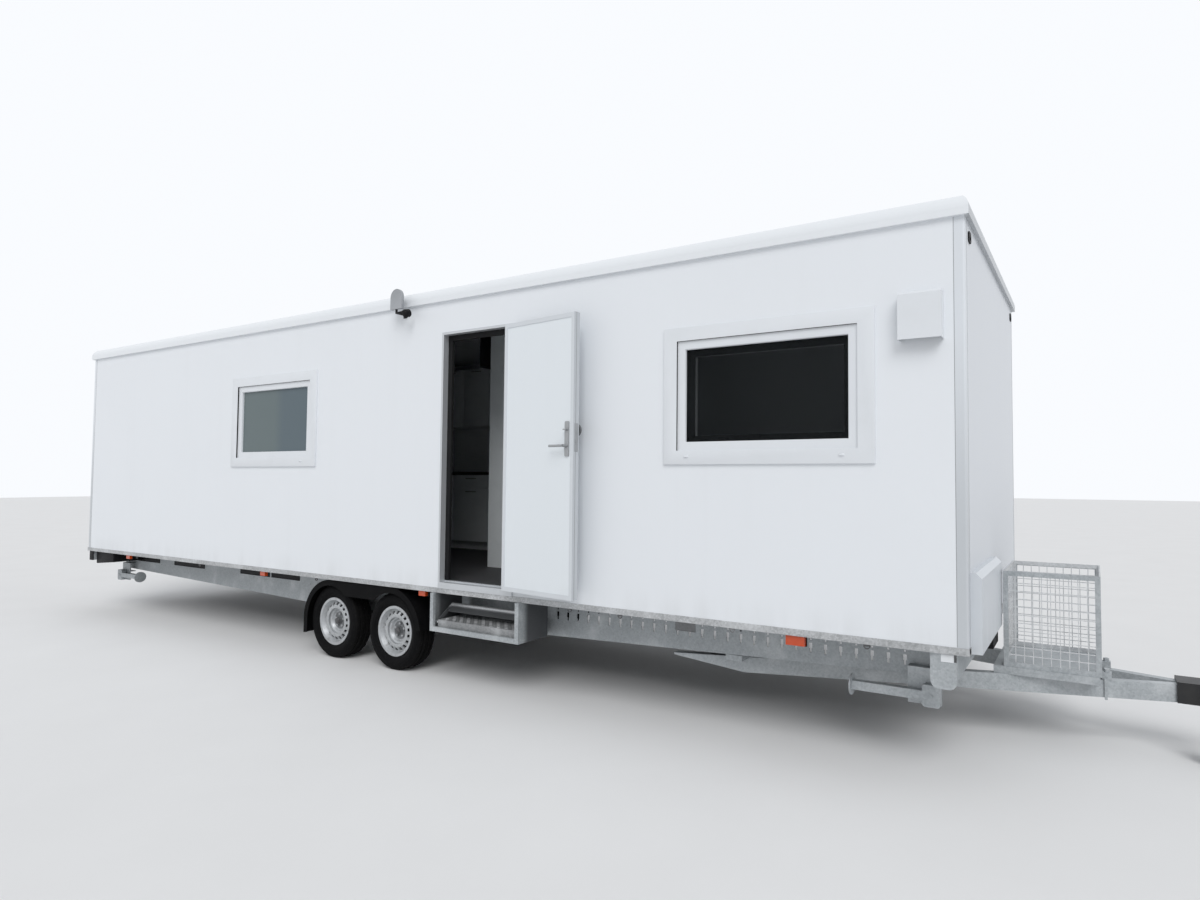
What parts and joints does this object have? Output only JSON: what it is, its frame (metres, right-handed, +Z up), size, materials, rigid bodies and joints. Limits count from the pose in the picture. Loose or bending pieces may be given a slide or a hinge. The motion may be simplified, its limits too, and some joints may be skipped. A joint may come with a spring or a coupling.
{
  "type": "portable site cabin on a tandem-axle trailer",
  "caption": "Long box-shaped site cabin on a road trailer, with a hinged door, flanged windows, fold-out step, drawbar basket and corner steadies.",
  "frame": {"origin": "on the ground, below the middle of the overall box with the door standing open", "axes": "+X along the cabin towards the drawbar, -Y towards the door side, +Z up"},
  "size_m": [11.8342, 2.7987, 3.2018],
  "materials": {
    "panel": "smooth cool grey-white coated sandwich panel",
    "trim_white": "coated sheet trim, satin",
    "window_white": "white plastic, satin",
    "door_white": "coated panel, satin",
    "inside_white": "laminate, satin",
    "floor": "plywood floor with a grey sheet covering",
    "worktop": "dark laminate",
    "glass": "dark tinted pane",
    "aluminium": "anodised",
    "galvanised": "hot-dip galvanised, dull",
    "wheel_steel": "silver painted pressed steel",
    "black_metal": "black paint, satin",
    "tread_plate": "chequered plate",
    "tyre": "rubber",
    "rubber": "solid rubber",
    "black_plastic": "moulded, grained",
    "lamp_grey": "moulded",
    "amber_lens": "clear moulded lens",
    "red_lens": "clear moulded lens"
  },
  "bodies": {
    "cabin": {"axles": "black_metal", "basket_frame": "galvanised", "basket_mesh": "galvanised", "chassis_brackets": "galvanised", "corner_posts": "trim_white", "cross_members": "galvanised", "door_frame": "aluminium", "drawbar_beams": "galvanised", "drawbar_wall": "panel", "eave_lamp": "lamp_grey", "end_fascias": "trim_white", "end_locker": "trim_white", "end_rails": "galvanised", "far_wall": "panel", "fixed_tread": "tread_plate", "floor_panel": "floor", "frame_hinges": "aluminium", "jockey_leg": "galvanised", "jockey_wheel": "rubber", "kitchen_base": "inside_white", "kitchen_wall_unit": "inside_white", "kitchen_worktop": "worktop", "lifting_points": "black_plastic", "marker_lamps": "amber_lens", "mudguards": "black_plastic", "near_wall_front": "panel", "near_wall_over_door": "panel", "near_wall_rear": "panel", "partition": "inside_white", "rear_wall": "panel", "roof_panel": "panel", "side_beams": "galvanised", "side_fascias": "trim_white", "side_rails": "galvanised", "steady_brackets": "galvanised", "step_box": "galvanised", "tail_lamps": "red_lens", "towing_head": "black_metal", "vent_cowl": "window_white", "window_frames": "window_white", "window_panes": "glass"},
    "door": {"door_edging": "aluminium", "door_panel": "door_white", "leaf_hinges": "aluminium", "door_backplate": "aluminium", "door_knob": "black_plastic"},
    "door_handle": {"door_lever": "aluminium"},
    "step": {"folding_step": "galvanised"},
    "near_front_wheel": {"near_front_rim": "wheel_steel", "near_front_tyre": "tyre"},
    "near_front_steady": {"steady_near_front": "galvanised"},
    "near_rear_wheel": {"near_rear_rim": "wheel_steel", "near_rear_tyre": "tyre"},
    "near_rear_steady": {"steady_near_rear": "galvanised"},
    "far_front_wheel": {"far_front_rim": "wheel_steel", "far_front_tyre": "tyre"},
    "far_front_steady": {"steady_far_front": "galvanised"},
    "far_rear_wheel": {"far_rear_rim": "wheel_steel", "far_rear_tyre": "tyre"},
    "far_rear_steady": {"steady_far_rear": "galvanised"}
  },
  "joints": [
    {"name": "door_hinge", "type": "hinge", "parent": "cabin", "child": "door", "pos_m": [1.05, -1.206, 1.791], "axis": [0, 0, 1], "range_deg": [-173, 3]},
    {"name": "handle_turn", "type": "hinge", "parent": "door", "child": "door_handle", "pos_m": [1.71341, -1.34992, 1.856], "axis": [-0.1219, -0.9925, 0], "range_deg": [0, 42], "stiffness_Nm_per_rad": 3, "springref_deg": -20.05},
    {"name": "step_fold", "type": "hinge", "parent": "cabin", "child": "step", "pos_m": [0.6985, -1.176, 0.48], "axis": [1, 0, 0], "range_deg": [0, 142]},
    {"name": "near_front_wheel_spin", "type": "hinge", "parent": "cabin", "child": "near_front_wheel", "pos_m": [-0.326, -1.0325, 0.325], "axis": [0, 1, 0], "continuous": true},
    {"name": "near_rear_wheel_spin", "type": "hinge", "parent": "cabin", "child": "near_rear_wheel", "pos_m": [-1.144, -1.0325, 0.325], "axis": [0, 1, 0], "continuous": true},
    {"name": "far_front_wheel_spin", "type": "hinge", "parent": "cabin", "child": "far_front_wheel", "pos_m": [-0.326, 1.2225, 0.325], "axis": [0, 1, 0], "continuous": true},
    {"name": "far_rear_wheel_spin", "type": "hinge", "parent": "cabin", "child": "far_rear_wheel", "pos_m": [-1.144, 1.2225, 0.325], "axis": [0, 1, 0], "continuous": true},
    {"name": "near_front_steady_drop", "type": "hinge", "parent": "cabin", "child": "near_front_steady", "pos_m": [4.037, -0.918, 0.404], "axis": [0, -1, 0], "range_deg": [0, 52]},
    {"name": "near_rear_steady_drop", "type": "hinge", "parent": "cabin", "child": "near_rear_steady", "pos_m": [-5.653, -0.918, 0.404], "axis": [0, 1, 0], "range_deg": [0, 52]},
    {"name": "far_front_steady_drop", "type": "hinge", "parent": "cabin", "child": "far_front_steady", "pos_m": [4.037, 1.108, 0.404], "axis": [0, -1, 0], "range_deg": [0, 52]},
    {"name": "far_rear_steady_drop", "type": "hinge", "parent": "cabin", "child": "far_rear_steady", "pos_m": [-5.653, 1.108, 0.404], "axis": [0, 1, 0], "range_deg": [0, 52]}
  ]
}
